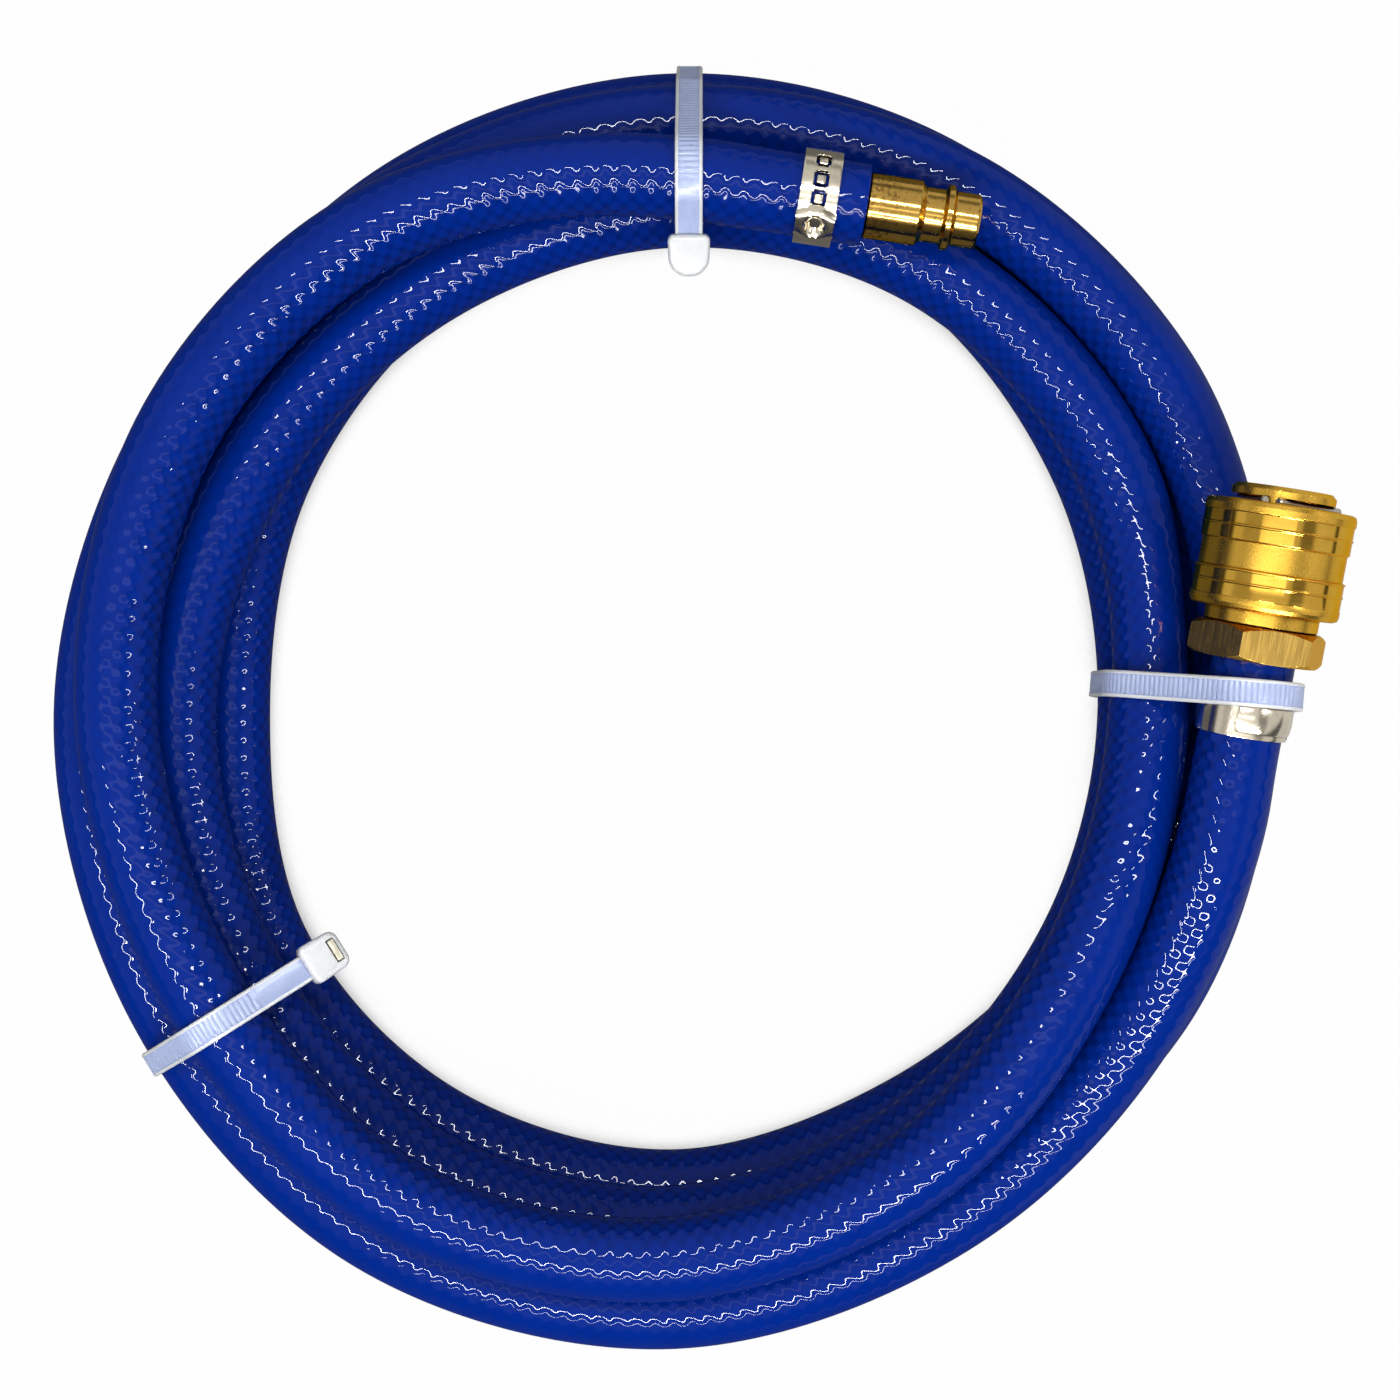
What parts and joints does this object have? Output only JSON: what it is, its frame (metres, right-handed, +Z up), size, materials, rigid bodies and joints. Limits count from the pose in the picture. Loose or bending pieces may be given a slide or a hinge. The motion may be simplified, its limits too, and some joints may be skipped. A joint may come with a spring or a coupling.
{
  "type": "compressed air hose",
  "caption": "Compressed air hose wound in a flat coil and held by ties, with a barbed plug clamped on one end and a barbed quick coupler with a sliding sleeve and shut-off valve on the other",
  "frame": {"origin": "centre of the object's footprint on the surface that it lies on, under its ties", "axes": "+Z is up, out of the flat side of the coil that faces the viewer; +Y points to the tie beside the plug; +X points to the coupler"},
  "size_m": [0.2422, 0.2498, 0.0619],
  "materials": {
    "hose_blue": "glossy soft PVC with the braid showing through",
    "brass": "turned, bright",
    "stainless": "bright strip",
    "pin_steel": "ground",
    "spring_steel": "drawn wire",
    "seal_rubber": "matte",
    "nylon": "natural translucent nylon"
  },
  "bodies": {
    "hose_and_fittings": {"hose": "hose_blue", "plug": "brass", "plug_clamp": "stainless", "coupler_clamp": "stainless", "coupler_tail": "brass", "coupler_body": "brass", "body_seal": "seal_rubber", "sleeve_spring": "spring_steel", "plug_seal": "seal_rubber", "valve_spring": "spring_steel", "spring_seat": "stainless", "tie_top": "nylon", "tie_left": "nylon", "tie_right": "nylon"},
    "sleeve": {"coupler_sleeve": "brass"},
    "valve": {"valve_poppet": "brass", "valve_seal": "seal_rubber"},
    "pin_outer_body": {"locking_pin_outer": "pin_steel"},
    "pin_inner_body": {"locking_pin_inner": "pin_steel"},
    "pin_under_body": {"locking_pin_under": "pin_steel"}
  },
  "joints": [
    {"name": "sleeve_slide", "type": "slide", "parent": "hose_and_fittings", "child": "sleeve", "axis": [-0.1556, -0.9823, -0.1045], "range_m": [0, 0.0024], "stiffness_N_per_m": 1500, "springref_m": -0.004, "deforming": ["sleeve_spring"]},
    {"name": "valve_slide", "type": "slide", "parent": "hose_and_fittings", "child": "valve", "axis": [-0.1556, -0.9823, -0.1045], "range_m": [0, 0.003], "stiffness_N_per_m": 500, "springref_m": -0.004, "deforming": ["valve_spring"]},
    {"name": "pin_outer_slide", "type": "slide", "parent": "hose_and_fittings", "child": "pin_outer_body", "axis": [0.0207, -0.9899, 0.1402], "range_m": [0, 0.0026]},
    {"name": "pin_inner_slide", "type": "slide", "parent": "hose_and_fittings", "child": "pin_inner_body", "axis": [-0.442, -0.8944, -0.0688], "range_m": [0, 0.0026]},
    {"name": "pin_under_slide", "type": "slide", "parent": "hose_and_fittings", "child": "pin_under_body", "axis": [-0.0242, -0.9284, -0.3708], "range_m": [0, 0.0026]}
  ],
  "couplings": [
    {"joint": "pin_outer_slide", "follows": "sleeve_slide", "ratio": 1.0477},
    {"joint": "pin_inner_slide", "follows": "sleeve_slide", "ratio": 1.0477},
    {"joint": "pin_under_slide", "follows": "sleeve_slide", "ratio": 1.0477}
  ]
}
